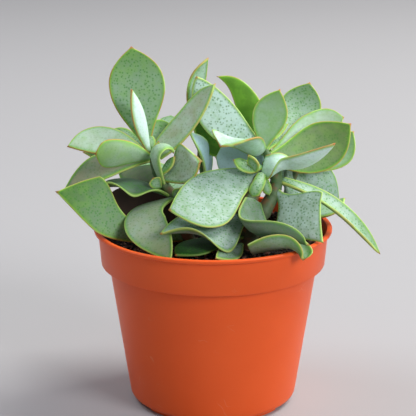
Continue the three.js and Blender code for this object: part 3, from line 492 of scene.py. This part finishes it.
# ---------------------------------------------------------------- leaves
# Fleshy blades, 0.8 mm thick at the edge and mostly 2.4 mm in the middle, each grown from one joint of
# a shoot. Each centreline runs from base through mid to tip, and face is where its upper side looks
# at mid. width is the greatest width and widest is where it lies; neck is the share of it left at the
# base. flare and blunt shape the outline below and above that place. hook bends the centreline into
# an S. twist turns the blade, in degrees, over the stretch that turn gives. cup holds half the angle
# of the cross-section's arc at base and tip, and two more numbers where the right half differs. left
# holds the waves of the left edge: size, number of waves and phase in degrees. curl bends the end of
# the blade towards its upper side, by an angle in degrees from a share of the length on. A size given
# as a pair holds the left half's value and the right's.
LARGE_LEAVES = [
    {"name": "left_tall", "base": [-32, 2, 129], "mid": [-37, 7, 155], "tip": [-40.5, 10, 179.5],
     "face": [0.1, -0.95, 0.2], "width": 28, "cup": [20, 8], "widest": 0.6, "neck": 0.12, "blunt": 2.4,
     "flare": [1.35, 1.9]},
    {"name": "left_sliver", "base": [-32, -2, 129], "mid": [-35.5, -5, 146], "tip": [-40, -5, 161],
     "face": [-0.88, 0.45, 0.1], "width": 11, "cup": [30, 15], "widest": 0.5, "neck": 0.3},
    {"name": "left_out", "base": [-32, 2, 126], "mid": [-54, 9, 132], "tip": [-73, 6, 130],
     "face": [-0.1, -0.6, 0.8], "width": 18, "cup": [15, 5]},
    {"name": "left_spoon", "base": [-31, -2, 127], "mid": [-43.5, -15, 132.5],
     "tip": [-56.5, -24, 133.5], "face": [0.05, 1, 0.05], "width": [12.5, 19.5], "cup": [20, 28],
     "widest": [0.72, 0.66], "blunt": [3.2, 3], "neck": [0.15, 0.25], "flare": [1, 1.2]},
    {"name": "left_behind", "base": [-31, 3, 128], "mid": [-44, 18, 132.5], "tip": [-52.5, 22, 134.5],
     "face": [0.1, -0.8, 0.5], "width": 8},
    {"name": "left_droop", "base": [-30, -1, 125], "mid": [-53, -5, 122], "tip": [-74, -8, 111],
     "face": [-0.2, -0.75, 0.6], "width": [13, 17], "cup": [15, 10], "blunt": 1.6},
    {"name": "left_low", "base": [-12.5, -12, 87], "mid": [-45, -20, 96.5], "tip": [-76, -24, 114.5],
     "hook": [0, 0, -2.5], "face": [-0.2, -0.8, 0.55], "width": [19, 31], "cup": [20, 5],
     "widest": [0.62, 0.77], "neck": [0.1, 0.3], "flare": [4, 18], "blunt": [1.4, 1]},
    {"name": "left_front", "base": [-19, -7, 107], "mid": [-32, -28, 101], "tip": [-20, -48, 87],
     "face": [-0.35, -0.5, 0.8], "width": [20, 25], "cup": [0, 10], "widest": [0.6, 0.36],
     "blunt": [3, 1.9], "neck": 0.15, "flare": [1.8, 1.3]},
    {"name": "left_wavy", "base": [-20, -6, 107], "mid": [-38.5, -8, 114], "tip": [-56.5, -9, 113.2],
     "face": [0, 0, 1], "width": 20, "left": [3.8, 1.43, 12], "cup": [0, 0], "blunt": 6},
    {"name": "left_lance", "base": [-29, 1, 127], "mid": [-13, 3, 143.5], "tip": [1, 5, 162],
     "face": [-0.6, -0.7, 0.4], "width": [14, 17], "cup": [30, 20], "widest": [0.45, 0.3],
     "blunt": [4.5, 2.2], "neck": 0.7, "flare": 1},
    {"name": "left_round", "base": [-30, 3, 126], "mid": [-26, 9, 133.5], "tip": [-19.5, 13, 138.5],
     "face": [0.2, -0.8, 0.5], "width": 18, "blunt": 3},
    {"name": "left_curl", "base": [-25, -6, 114], "mid": [-29.5, -12, 129], "tip": [-31.5, -12, 144.5],
     "face": [0.9, 0.35, 0], "width": 11, "cup": [40, 45], "curl": [165, 0.48], "widest": 0.6,
     "neck": 0.4, "blunt": 2.4},
    {"name": "left_shell", "base": [-25, -4, 115], "mid": [-14, -10, 121.5], "tip": [-6.5, -16, 127],
     "face": [-0.45, -0.7, 0.5], "width": [26, 14], "cup": [10, 5], "twist": 30,
     "left": [3.5, 0.8, -50], "widest": [0.62, 0.55], "blunt": [1.2, 2], "flare": [1.8, 1.3]},
    {"name": "left_shade", "base": [-23, -5, 112], "mid": [-35, 13, 113.5], "tip": [-49, 30, 109.5],
     "face": [0, -0.6, 0.8], "width": 17},
    {"name": "back_twist", "base": [-6, 19, 125], "mid": [-9.5, 21, 152.5], "tip": [-2.5, 22, 172],
     "face": [0.4, -0.85, 0.1], "width": [12, 10], "cup": [20, 30], "twist": 50, "blunt": 2.2,
     "widest": [0.72, 0.6], "flare": [2.2, 1.3]},
    {"name": "back_strip", "base": [-4, 18, 103], "mid": [-3.5, 13, 124], "tip": [-12, 13, 136],
     "face": [0.75, -0.6, 0.2], "width": [11, 9], "cup": [25, 20]},
    {"name": "back_dark", "base": [25, 3, 125], "mid": [5.5, 16, 135], "tip": [-8, 15, 149],
     "face": [-0.3, -0.8, 0.4], "width": [27, 11], "widest": 0.5, "flare": [2.5, 1.3]},
    {"name": "back_blue", "base": [25, 1, 122], "mid": [11.5, 8, 122.5], "tip": [1.5, 10, 123.5],
     "face": [-0.2, -0.9, 0.3], "width": [18, 20], "neck": 0.5, "blunt": 3},
    {"name": "right_broad", "base": [24, 2, 130], "mid": [5, 8, 143.5], "tip": [-9.5, 11, 166],
     "face": [-0.1, -0.9, 0.4], "width": [21, 18], "cup": [12, 5], "widest": 0.52, "blunt": 2.3,
     "neck": 0.3, "curl": [55, 0.85]},
    {"name": "right_bright", "base": [25, 4, 130], "mid": [18, 20, 148], "tip": [2, 26, 162],
     "face": [-0.2, -0.8, 0.5], "width": 14, "hook": [0, 0, -2.8], "widest": 0.42, "blunt": 1.4},
    {"name": "right_young", "base": [25, 1, 129], "mid": [28, 4, 145], "tip": [33, 6, 159],
     "face": [-0.1, -0.95, 0.2], "width": 17.5, "cup": [20, 5], "widest": 0.55},
    {"name": "right_high", "base": [26, 2, 129], "mid": [42, 27, 140], "tip": [50, 35, 157],
     "face": [-0.1, -0.95, 0.3], "width": 22, "cup": [10, 5], "blunt": [3, 2.6], "neck": 0.12,
     "flare": 1.9},
    {"name": "right_rim", "base": [28, 3, 126.5], "mid": [49, 16.5, 136.5], "tip": [66.5, 20, 142],
     "face": [-0.2, -0.9, 0.4], "width": 16, "blunt": 3.4, "neck": 0.14, "flare": 1.6},
    {"name": "right_large", "base": [26, -1, 125], "mid": [49, 7, 128], "tip": [69, 9, 141],
     "face": [-0.1, -0.93, 0.35], "width": [23.5, 26], "cup": [12, 5], "widest": 0.6, "blunt": 2.2},
    {"name": "far_side", "base": [41, 11, 116], "mid": [60, 20, 124.5], "tip": [72, 22, 134],
     "face": [-0.2, -0.9, 0.4], "width": 22},
    {"name": "right_boat", "base": [24.5, -5, 123], "mid": [41, -15, 125.5], "tip": [58, -26, 139],
     "face": [-0.2, 0.6, 0.75], "width": 20, "cup": [20, 30], "twist": -90, "turn": [0.05, 0.45],
     "widest": 0.38, "neck": 0.5},
    {"name": "right_hood", "base": [24, 0, 128], "mid": [13.5, -12, 137], "tip": [3.5, -20, 136],
     "face": [0.1, 0.3, 0.95], "width": [15, 24], "cup": [35, 5, 15, 10], "twist": -90,
     "widest": [0.4, 0.72], "blunt": [1.5, 4], "neck": [0.5, 0.3], "flare": 1},
    {"name": "front_large", "base": [24, -7, 118], "mid": [1, -26, 110.5], "tip": [-21, -40, 110],
     "face": [-0.1, -0.7, 0.72], "width": [30, 36], "cup": [5, 0], "widest": [0.62, 0.45], "blunt": 2,
     "flare": [3, 0.8], "neck": [0.1, 0.3]},
    {"name": "front_wave", "base": [17, -18, 100], "mid": [-4, -31, 100], "tip": [-25, -46, 100],
     "face": [0, -0.35, 0.9], "width": [36, 24], "left": [6, 1.25, 90], "cup": [0, 0],
     "widest": [0.44, 0.5], "flare": [1.8, 1.3], "blunt": [1.3, 1.8]},
    {"name": "front_under", "base": [15.5, -19.5, 91], "mid": [-6, -33, 90], "tip": [-18, -45, 89],
     "face": [0, -0.2, 1], "width": 16},
    {"name": "front_fold", "base": [14, -24, 88], "mid": [9, -36, 88], "tip": [1, -49, 88.8],
     "face": [0.3, -0.4, 0.85], "width": 10, "thick": 1.8},
    {"name": "front_roll", "base": [18, -40.5, 89], "mid": [30, -42.5, 92], "tip": [45, -46.5, 95],
     "face": [0, 0.35, 0.93], "width": [16, 22], "widest": [0.85, 0.4], "cup": [60, 110, 40, 95],
     "blunt": [6, 2.4], "neck": [0.3, 0.85], "flare": 1, "curl": [-80, 0.66]},
    {"name": "front_drape", "base": [19.5, -19, 110], "mid": [25, -37, 96.5], "tip": [45, -47.5, 95],
     "face": [0, 0.25, 0.95], "width": [20, 27], "widest": [0.3, 0.45], "neck": [0.4, 0.32],
     "blunt": [1.5, 2.6], "cup": [10, 10, 0, 150], "flare": [1, 1.2], "hook": [-2, 0, -2]},
    {"name": "front_flag", "base": [30.5, -9, 111.5], "mid": [42, -22, 101.5], "tip": [53, -33, 91.5],
     "face": [-0.3, -0.9, 0.3], "width": 33, "blunt": 0.72, "flare": 3.2, "widest": 0.51, "neck": 0.12},
    {"name": "front_long", "base": [33.5, -6, 115.5], "mid": [59, -12, 104], "tip": [83, -14, 80],
     "face": [0.45, -0.6, 0.7], "width": [11, 10], "cup": [30, 30, 60, 80], "blunt": 3, "neck": 0.5},
    {"name": "far_broad", "base": [36, 4.5, 113], "mid": [48.5, 13, 108], "tip": [65, 18, 97.5],
     "face": [0, -0.8, 0.5], "width": [30, 26], "blunt": [3, 1.2], "neck": 0.8},
    {"name": "far_low", "base": [38, 10, 96], "mid": [55.5, 5, 97], "tip": [67, 8, 102.5],
     "face": [0, -0.3, 0.95], "width": 13},
    {"name": "rear_1", "base": [-3, 19, 108], "mid": [-27, 33, 106], "tip": [-50, 48, 114],
     "face": [0, -0.4, 0.9], "width": 24},
    {"name": "left_dry", "base": [-16, -8, 98], "mid": [-41, 6, 100], "tip": [-56, 9, 100.5],
     "face": [0, -0.9, 0.4], "width": 18, "cup": [20, 10], "widest": 0.5, "neck": [0.4, 0.95]},
    {"name": "rear_2", "base": [-3, 18, 98], "mid": [-4, 37, 100], "tip": [-8, 57, 94],
     "face": [0, -0.2, 1], "width": 24},
    {"name": "rear_3", "base": [28.5, -1.5, 122], "mid": [18, 27, 129], "tip": [11, 48, 133],
     "face": [0, -0.4, 0.9], "width": 22},
    {"name": "rear_4", "base": [42, 14, 120], "mid": [44, 33, 128], "tip": [50, 51, 131],
     "face": [0, -0.3, 0.95], "width": 22},
    {"name": "rear_5", "base": [39, 10, 108], "mid": [37, 33, 111], "tip": [36, 54, 107],
     "face": [0, -0.2, 1], "width": 24},
    {"name": "rear_6", "base": [38, 10, 99], "mid": [50, 30, 102], "tip": [58, 47, 97],
     "face": [0.2, -0.2, 1], "width": 24},
    {"name": "rear_7", "base": [-15, -10, 94], "mid": [-24, 8, 97], "tip": [-35, 23, 97],
     "face": [0, -0.4, 0.9], "width": 18},
    {"name": "rear_8", "base": [-3, 18, 100], "mid": [14, 35, 102], "tip": [24, 51, 96],
     "face": [0, -0.3, 1], "width": 20},
]
# The young leaves and buds: a1 to a7 on the left shoot, c1 to c7 on the right one.
YOUNG_LEAVES = [
    {"name": "a1", "on": "left", "base": [-31, 0, 128], "mid": [-31, 2, 133], "tip": [-33, 4, 137],
     "face": [0.2, -0.9, 0.2], "width": 5},
    {"name": "a2", "on": "left", "base": [-31, -1, 127], "mid": [-28, -4, 131], "tip": [-27, -5, 135],
     "face": [-0.3, 0.6, 0.7], "width": 5},
    {"name": "a3", "on": "left", "base": [-31, 1, 127], "mid": [-24.5, 24, 136.5],
     "tip": [-21.5, 32, 140], "face": [-0.3, -0.6, 0.7], "width": 12},
    {"name": "a4", "on": "left", "base": [-30, 0, 125], "mid": [-47, 7, 125], "tip": [-66, 14, 125],
     "face": [0, -0.6, 0.8], "width": 10},
    {"name": "a5", "on": "left", "base": [-27, -4, 117], "mid": [-22.5, -5, 122.5],
     "tip": [-19, -5, 127.5], "face": [-0.6, -0.5, 0.5], "width": 6},
    {"name": "a6", "on": "left", "base": [-26, -6.5, 112.5], "mid": [-28, -9.7, 114.7],
     "tip": [-29.5, -11.5, 118], "face": [0, -0.95, 0.3], "width": 7, "cup": [30, 30], "blunt": 4,
     "neck": 0.3, "widest": 0.8, "thick": 1.6},
    {"name": "a7", "on": "left", "base": [-20, -7, 107], "mid": [-18, -10, 110],
     "tip": [-16.5, -11, 113], "face": [0, -0.9, 0.3], "width": 5},
    {"name": "c1", "on": "right", "base": [24.5, 0, 129.5], "mid": [22, -1, 133.5],
     "tip": [21.5, -2, 135.5], "face": [0.1, 0.8, 0.5], "width": 4},
    {"name": "c2", "on": "right", "base": [25, 1, 129.5], "mid": [24, -1, 132.5],
     "tip": [24, -1, 134.5], "face": [0, -0.9, 0.2], "width": 4},
    {"name": "c3", "on": "right", "base": [25, -4, 122], "mid": [17, -10, 123.5],
     "tip": [10, -12, 127.5], "face": [0.1, -0.6, 0.7], "width": 8, "blunt": 3.5},
    {"name": "c4", "on": "right", "base": [21, -9, 120.5], "mid": [20, -12, 126], "tip": [17, -13, 130],
     "face": [-0.5, -0.7, 0.3], "width": 7, "cup": [30, 50]},
    {"name": "c5", "on": "right", "base": [25, 1, 131], "mid": [30, 7, 136], "tip": [38, 15, 139.5],
     "face": [0, -0.8, 0.5], "width": 6},
    {"name": "c7", "on": "right", "base": [24, -9, 119], "mid": [22, -15, 116], "tip": [19, -18, 110.5],
     "face": [-0.1, -0.9, 0.3], "width": 6.5, "blunt": 5, "widest": 0.6, "thick": 3.5, "neck": 0.8},
    {"name": "c6", "on": "right", "base": [25, -8, 118.5], "mid": [26, -13, 114.5],
     "tip": [27.5, -15, 110.5], "face": [0.1, -0.9, 0.3], "width": 5, "blunt": 3, "neck": 0.6},
]
PLAIN_LEAF = {
    "hook": [0, 0, 0], "widest": 0.58, "neck": 0.2, "blunt": 2, "flare": 1.3, "thick": 2.4,
    "twist": 0, "turn": [0, 1], "curl": [0, 0.5], "cup": [0, 0], "left": [0, 0, 0],
}
# What the skin of each leaf shows, as its tone: its bloom of blue-white wax, the grey-brown tan of sun and
# age, the blush of its edge, and how deep a green its flesh is. The deep green, and in part the bloom, are
# set leaf by leaf for how the leaf is lit: painted shade on leaves in the shadow of others, painted light on
# the brightest.
PLAIN_SKIN_AND_SHADE = (0.5, 0.0, 0.5, 0.2)
SKINS_AND_SHADE = {
    "left_tall": (0.36, 0, 0.9, 0.22), "left_sliver": (1.4, 0, 0.9, 0), "left_out": (0.75, 0.25, 0.9, 0.08),
    "left_spoon": (0.4, 0.12, 1, 0.08), "left_behind": (0.4, 0, 0.6, 0.3),
    "left_droop": (0.3, 0.65, 0.3, 0.6), "left_low": (0.2, 0, 0.6, 0.42),
    "left_front": (0.38, 0.35, 0.1, 0.55), "left_wavy": (0.15, 0, 0.1, 0.88),
    "left_lance": (0.7, 0.55, 0.5, 0.12), "left_round": (0.3, 0, 0.3, 0.3),
    "left_curl": (0.6, 0.1, 0.1, 0.1), "left_shell": (0.85, 0.4, 0.8, 0.15),
    "left_shade": (0.1, 0.3, 0, 0.9), "back_twist": (0.8, 0, 0.7, 0.12), "back_strip": (1.95, 0, 0, 0.03),
    "back_dark": (0, 0, 0, 0.3), "back_blue": (1.85, 0, 0, 0.05), "right_broad": (1.15, 0, 0.2, 0.22),
    "right_bright": (0, 0, 0.8, 0.05), "right_young": (0.42, 0.08, 0.7, 0.05),
    "right_high": (0.5, 0, 0.5, 0.4), "right_rim": (0.72, 0.2, 0.8, 0.05),
    "right_large": (0.12, 0.3, 0.7, 0.3), "right_boat": (1.3, 0, 0.9, 0), "right_hood": (0.9, 0, 0.9, 0),
    "front_large": (0.62, 0, 0.4, 0.75), "front_wave": (0.55, 0, 0.2, 0.85), "front_under": (0.05, 0, 0, 1),
    "front_fold": (0.5, 0, 0.2, 0.7), "front_roll": (0.35, 0.05, 0.5, 0.55),
    "front_drape": (0.27, 0.12, 0.3, 0.9), "front_flag": (0.9, 0.1, 0.1, 0.5),
    "front_long": (0.58, 0, 0.4, 0.45), "far_side": (0.48, 0, 0.3, 0), "far_broad": (0.58, 0, 0.1, 0.75),
    "far_low": (0.6, 0, 0.6, 0.12),
}
EDGE_THICKNESS = 0.8
TIP_THINNING = 0.55  # the share of its extra thickness that the middle loses towards the tip
SMALLEST_HALF_WIDTH = 0.35
TIGHTEST_ROLL = 1.6  # least radius of a rolled cross-section
LEAF_STEPS = 48
# Shares of the half width, from the edge in, where the skin has its lines.
ACROSS = [0, 0.006, 0.022, 0.055, 0.12, 0.21, 0.33, 0.47, 0.63, 0.81, 1]


def leaf_frames(leaf):
    """Centreline points with the leaf's own axes: to its left edge, out of its face and along it."""
    base, mid, tip, hook = (Vector(leaf[key]) for key in ("base", "mid", "tip", "hook"))
    bow = mid - (base + tip) / 2
    run = tip - base
    shares = [i / LEAF_STEPS for i in range(LEAF_STEPS + 1)]
    centres = [base + run * u + bow * math.sin(math.pi * u)
               + hook * math.sin(2 * math.pi * u) for u in shares]
    alongs = [(run + bow * math.pi * math.cos(math.pi * u)
               + hook * 2 * math.pi * math.cos(2 * math.pi * u)).normalized() for u in shares]
    half = LEAF_STEPS // 2
    faces = [None] * (LEAF_STEPS + 1)
    for order in (range(half, LEAF_STEPS + 1), range(half, -1, -1)):
        face = Vector(leaf["face"])
        for i in order:
            face = (face - face.dot(alongs[i]) * alongs[i]).normalized()
            faces[i] = face
    curl, curl_from = leaf["curl"]
    reach = [0] + [(centres[i] - centres[i - 1]).length for i in range(1, LEAF_STEPS + 1)]
    for i, u in enumerate(shares):
        if curl and u > curl_from:
            angle = math.radians(curl) * (u - curl_from) / (1 - curl_from)
            along, face = alongs[i], faces[i]
            alongs[i] = along * math.cos(angle) + face * math.sin(angle)
            faces[i] = face * math.cos(angle) - along * math.sin(angle)
            centres[i] = centres[i - 1] + alongs[i] * reach[i]
    start, end = leaf["turn"]

    def ease(u):
        t = min(max((u - start) / (end - start), 0), 1)
        return t if (start, end) == (0, 1) else t * t * (3 - 2 * t)

    frames = []
    for u, centre, along, face in zip(shares, centres, alongs, faces):
        angle = math.radians(leaf["twist"]) * (ease(u) - ease(0.5))
        across = face.cross(along)
        frames.append((
            centre, across * math.cos(angle) + face * math.sin(angle),
            face * math.cos(angle) - across * math.sin(angle), along,
        ))
    return frames


def half_width(leaf, u, v):
    """Half the width at u, of the left half where v is above zero and of the right half elsewhere."""
    sizes = [leaf[key] for key in ("width", "widest", "neck", "flare", "blunt")]
    width, widest, neck, flare, blunt = [s[v <= 0] if isinstance(s, list) else s for s in sizes]
    if u < widest:
        share = neck + (1 - neck) * math.sin(math.pi / 2 * u / widest) ** flare
    else:
        share = 1 - ((u - widest) / (1 - widest)) ** blunt
    return max(width / 2 * share, SMALLEST_HALF_WIDTH)


def blade_point(leaf, frames, step, v, side):
    """A spot of the blade: v runs from the right edge, -1, to the left, 1; side is 1 above, -1 below."""
    centre, left, up, _ = frames[step]
    u = step / LEAF_STEPS
    half = half_width(leaf, u, v)
    cup_base, cup_tip = leaf["cup"][-2:] if v < 0 else leaf["cup"][:2]
    limit = half / TIGHTEST_ROLL
    bend = min(max(math.radians(cup_base + (cup_tip - cup_base) * u), -limit), limit)
    flat = abs(bend) < 1e-3
    sideways = half * v if flat else half / bend * math.sin(bend * v)
    raised = 0 if flat else half / bend * (1 - math.cos(bend * v))
    if v > 0:
        size, count, phase = leaf["left"]
        onset = math.sin(math.pi / 2 * min(1, 1.6 * u))
        raised += size * v * v * onset * math.sin(2 * math.pi * count * u + math.radians(phase))
    body = (leaf["thick"] - EDGE_THICKNESS) * (1 - v * v) ** 0.8 * (1 - TIP_THINNING * u ** 3)
    inset = half * (1 - abs(v))
    rounding = min(EDGE_THICKNESS / 2, half)
    edge = EDGE_THICKNESS
    if inset < rounding:
        edge *= math.sqrt(1 - ((rounding - inset) / rounding) ** 2)
    outward = up * math.cos(bend * v) - left * math.sin(bend * v)
    return centre + left * sideways + up * raised + outward * ((edge + body) / 2 * side), inset


def make_leaf(name, row):
    """One blade, closed to a point at its base and tip, with its row's tone on every vertex."""
    leaf = {**PLAIN_LEAF, **row}
    frames = leaf_frames(leaf)
    lines = [(1 - s, 1) for s in ACROSS] + [(s - 1, 1) for s in reversed(ACROSS[:-1])]
    lines += [(s - 1, -1) for s in ACROSS[1:]] + [(1 - s, -1) for s in reversed(ACROSS[:-1])]

    def spot_of(column, step):
        # The skin attribute holds the distance from the edge in mm, 1 above and 0 below, and the share
        # of the length. The base counts as far from any edge, and the tip is as thin as the edge.
        v, side = lines[column]
        if step == 0:
            return frames[0][0], (9, 0.5, 0)
        if step == LEAF_STEPS:
            return frames[-1][0] + frames[-1][3] * 0.5, (0, 0.5, 1)
        spot, inset = blade_point(leaf, frames, step, v, side)
        upper = 0.5 if abs(v) == 1 else (side + 1) / 2
        return spot, (inset, upper, step / LEAF_STEPS)

    piece = rolled_grid(name, len(lines) - 1, LEAF_STEPS, spot_of)
    tone = piece.data.attributes.new("tone", "FLOAT_COLOR", "POINT")
    tone.data.foreach_set("color", SKINS_AND_SHADE.get(row["name"], PLAIN_SKIN_AND_SHADE) * len(piece.data.vertices))
    return piece


# Succulent skin under wax: a soft, wide sheen, and light that spreads in the watery flesh.
leaf_material, tree, shader = new_material("waxy_leaf_skin", {
    "Roughness": 0.5, "IOR": 1.4, "Specular IOR Level": 0.35, "Subsurface Weight": 0.15,
    "Subsurface Radius": (0.6, 1.0, 0.2), "Subsurface Scale": 1.2 * MM,
})
coords = add_node(tree, "ShaderNodeTexCoord").outputs["Object"]
skin = add_node(tree, "ShaderNodeAttribute", attribute_name="skin")
where = add_node(tree, "ShaderNodeSeparateColor", {"Color": skin.outputs["Color"]})
inset, upper, share = (where.outputs[key] for key in ("Red", "Green", "Blue"))
tone = add_node(tree, "ShaderNodeAttribute", attribute_name="tone")
shown = add_node(tree, "ShaderNodeSeparateColor", {"Color": tone.outputs["Color"]})
bloom, tan, blush = (shown.outputs[key] for key in ("Red", "Green", "Blue"))

# Flesh: green, yellower in clouds some 11 mm wide, and deeper in spots some 5 mm wide; deeper all over on the
# leaves that lie in the shadow of others, which is painted shade.
broad = add_node(tree, NOISE, {"Vector": coords, "Scale": 1 / (11 * MM)})
light_flesh = add_node(tree, MIX, {
    FACTOR: broad.outputs["Fac"], COLOUR_A: srgb("#5f9a2f"), COLOUR_B: srgb("#82b83a"),
}, data_type="RGBA")
spots = add_node(tree, NOISE, {"Vector": coords, "Scale": 1 / (5 * MM)})
deep = add_node(tree, RANGE, {
    "Value": spots.outputs["Fac"], "From Min": 0.35, "From Max": 0.65, "To Max": 0.25,
}, interpolation_type="SMOOTHSTEP")
# Painted shade: the tone's deep value darkens the whole leaf.
shaded = add_node(tree, MATH, {0: deep.outputs["Result"], 1: tone.outputs["Alpha"]},
                  operation="ADD", use_clamp=True)
flesh = add_node(tree, MIX, {
    FACTOR: shaded.outputs["Value"], COLOUR_A: light_flesh.outputs[MIXED], COLOUR_B: srgb("#235017"),
}, data_type="RGBA")

# Bloom: the blue-white wax, rubbed in clouds and thin near the edge and the tip. Above 1.5 it is thick and
# slate blue, which is painted shade: the cool look of the wax on leaves lying in shadow.
rub = add_node(tree, NOISE, {"Vector": coords, "Scale": 1 / (5 * MM), "Detail": 8, "Roughness": 0.62})
rubbed = add_node(tree, RANGE, {
    "Value": rub.outputs["Fac"], "From Min": 0.3, "From Max": 0.66, "To Min": 0.58, "To Max": 1,
}, interpolation_type="SMOOTHSTEP")
inner = add_node(tree, RANGE, {
    "Value": inset, "From Min": 0.3, "From Max": 2.6, "To Min": 0.4, "To Max": 1,
}, interpolation_type="SMOOTHSTEP")
thinned = add_node(tree, MATH, {0: bloom, 1: 2}, operation="POWER")
lower = add_node(tree, RANGE, {
    "Value": share, "From Min": 0.55, "From Max": 1, "To Min": bloom, "To Max": thinned.outputs["Value"],
}, interpolation_type="SMOOTHSTEP")
kept = add_node(tree, MATH, {0: rubbed.outputs["Result"], 1: inner.outputs["Result"]}, operation="MULTIPLY")
wax = add_node(tree, MATH, {0: kept.outputs["Value"], 1: lower.outputs["Result"]}, operation="MULTIPLY")
# Painted shade: past 1.5 the wax turns slate blue, as it looks in shadow.
thick = add_node(tree, RANGE, {"Value": bloom, "From Min": 1.5, "From Max": 2})
wax_and_shade_colour = add_node(tree, MIX, {
    FACTOR: thick.outputs["Result"], COLOUR_A: srgb("#cfeadf"), COLOUR_B: srgb("#93b9c2"),
}, data_type="RGBA")
waxed = add_node(tree, MIX, {
    FACTOR: wax.outputs["Value"], COLOUR_A: flesh.outputs[MIXED], COLOUR_B: wax_and_shade_colour.outputs[MIXED],
}, data_type="RGBA")

# Dots: the water pores, soft green spots about 0.8 mm wide and 1.5 to 2 mm apart, faint on the
# underside and in the youngest leaves.
cells = add_node(tree, "ShaderNodeTexVoronoi", {
    "Vector": coords, "Scale": 1 / (1.45 * MM), "Randomness": 0.85,
})
dot = add_node(tree, RANGE, {
    "Value": cells.outputs["Distance"], "From Min": 0.45, "From Max": 0.18,
}, interpolation_type="SMOOTHSTEP")
clear = add_node(tree, RANGE, {
    "Value": upper, "From Min": 0.4, "From Max": 0.6, "To Min": 0.3, "To Max": 0.6,
}, interpolation_type="SMOOTHSTEP")
grown = add_node(tree, RANGE, {
    "Value": tone.outputs["Alpha"], "From Min": 0.05, "From Max": 0.2, "To Min": 0.12,
    "To Max": clear.outputs["Result"],
})
dots = add_node(tree, MATH, {0: dot.outputs["Result"], 1: grown.outputs["Result"]}, operation="MULTIPLY")
dotted = add_node(tree, MIX, {
    FACTOR: dots.outputs["Value"], COLOUR_A: waxed.outputs[MIXED], COLOUR_B: srgb("#3d8529"),
}, data_type="RGBA")

# Tan: a grey-brown cast along the middle of older leaves.
patchy = add_node(tree, NOISE, {"Vector": coords, "Scale": 1 / (6 * MM), "Detail": 3})
patches = add_node(tree, RANGE, {
    "Value": patchy.outputs["Fac"], "From Min": 0.3, "From Max": 0.7, "To Min": 0.45, "To Max": 1,
}, interpolation_type="SMOOTHSTEP")
middle = add_node(tree, RANGE, {
    "Value": inset, "From Min": 0.6, "From Max": 3, "To Max": tan,
}, interpolation_type="SMOOTHSTEP")
cast = add_node(tree, MATH, {0: patches.outputs["Result"], 1: middle.outputs["Result"]}, operation="MULTIPLY")
tanned = add_node(tree, MIX, {
    FACTOR: cast.outputs["Value"], COLOUR_A: dotted.outputs[MIXED], COLOUR_B: srgb("#a39a80"),
}, data_type="RGBA")

# Edge: a narrow yellow-green band, then a rim that is pale, partly a painted highlight along the rounded
# edge, or, in stretches, red. Both are dimmed as painted shade on the leaves with the deepest green, which
# lie in shadow. The very tip is red-brown.
# Painted shade: the deeper a leaf's green, the dimmer its edge.
unshaded_edge = add_node(tree, RANGE, {
    "Value": tone.outputs["Alpha"], "From Min": 0.8, "From Max": 1, "To Min": 0.65, "To Max": 0.15,
})
band = add_node(tree, RANGE, {
    "Value": inset, "From Min": 1.6, "From Max": 0.1, "To Max": unshaded_edge.outputs["Result"],
}, interpolation_type="SMOOTHSTEP")
banded = add_node(tree, MIX, {
    FACTOR: band.outputs["Result"], COLOUR_A: tanned.outputs[MIXED], COLOUR_B: srgb("#95cf42"),
}, data_type="RGBA")
rim = add_node(tree, RANGE, {
    "Value": inset, "From Min": 0.6, "From Max": 0.2, "To Max": unshaded_edge.outputs["Result"],
}, interpolation_type="SMOOTHSTEP")
stretches = add_node(tree, NOISE, {"Vector": coords, "Scale": 1 / (9 * MM)})
reddened = add_node(tree, RANGE, {
    "Value": stretches.outputs["Fac"], "From Min": 0.34, "From Max": 0.54, "To Max": blush,
}, interpolation_type="SMOOTHSTEP")
# The pale rim colour is partly a painted highlight.
rim_colour = add_node(tree, MIX, {
    FACTOR: reddened.outputs["Result"], COLOUR_A: srgb("#c6df88"), COLOUR_B: srgb("#c4573a"),
}, data_type="RGBA")
edged = add_node(tree, MIX, {
    FACTOR: rim.outputs["Result"], COLOUR_A: banded.outputs[MIXED], COLOUR_B: rim_colour.outputs[MIXED],
}, data_type="RGBA")
tip = add_node(tree, RANGE, {
    "Value": share, "From Min": 0.975, "From Max": 0.995, "To Max": 0.7,
}, interpolation_type="SMOOTHSTEP")
tipped = add_node(tree, MIX, {
    FACTOR: tip.outputs["Result"], COLOUR_A: edged.outputs[MIXED], COLOUR_B: srgb("#b24a30"),
}, data_type="RGBA")
tree.links.new(tipped.outputs[MIXED], shader.inputs["Base Color"])

# Relief: soft swellings some 2.4 mm wide, and a shallow pit in each dot.
swell = add_node(tree, NOISE, {"Vector": coords, "Scale": 1 / (2.4 * MM), "Detail": 3})
swollen = add_node(tree, "ShaderNodeBump", {
    "Height": swell.outputs["Fac"], "Strength": 0.3, "Distance": 0.25 * MM,
})
pitted = add_node(tree, "ShaderNodeBump", {
    "Height": dots.outputs["Value"], "Strength": 0.2, "Distance": 0.06 * MM,
    "Normal": swollen.outputs["Normal"],
}, invert=True)
tree.links.new(pitted.outputs["Normal"], shader.inputs["Normal"])

# A withered leaf: papery and brown, paler in clouds some 6 mm wide, and so dark all over that its colour is
# partly painted shade, for it lies in shadow behind the lower leaves.
shaded_withered_material, tree, shader = new_material("withered_leaf_in_shade", {"Roughness": 0.75})
coords = add_node(tree, "ShaderNodeTexCoord").outputs["Object"]
cloud = add_node(tree, NOISE, {"Vector": coords, "Scale": 1 / (6 * MM), "Detail": 4})
shaded_brown = add_node(tree, MIX, {
    FACTOR: cloud.outputs["Fac"], COLOUR_A: srgb("#20140d"), COLOUR_B: srgb("#4d3524"),
}, data_type="RGBA")
tree.links.new(shaded_brown.outputs[MIXED], shader.inputs["Base Color"])

WITHERED = ("left_dry",)
for row in LARGE_LEAVES:
    leaf = make_leaf(f"blade_{row['name']}", row)
    leaf.data.materials.append(shaded_withered_material if row["name"] in WITHERED else leaf_material)
    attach(leaf, "root")
    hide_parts(f"leaf_{row['name']}")
for row in YOUNG_LEAVES:
    leaf = make_leaf(f"young_{row['name']}", row)
    leaf.data.materials.append(leaf_material)
    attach(leaf, "root")
    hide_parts(f"shoot_{row['on']}")
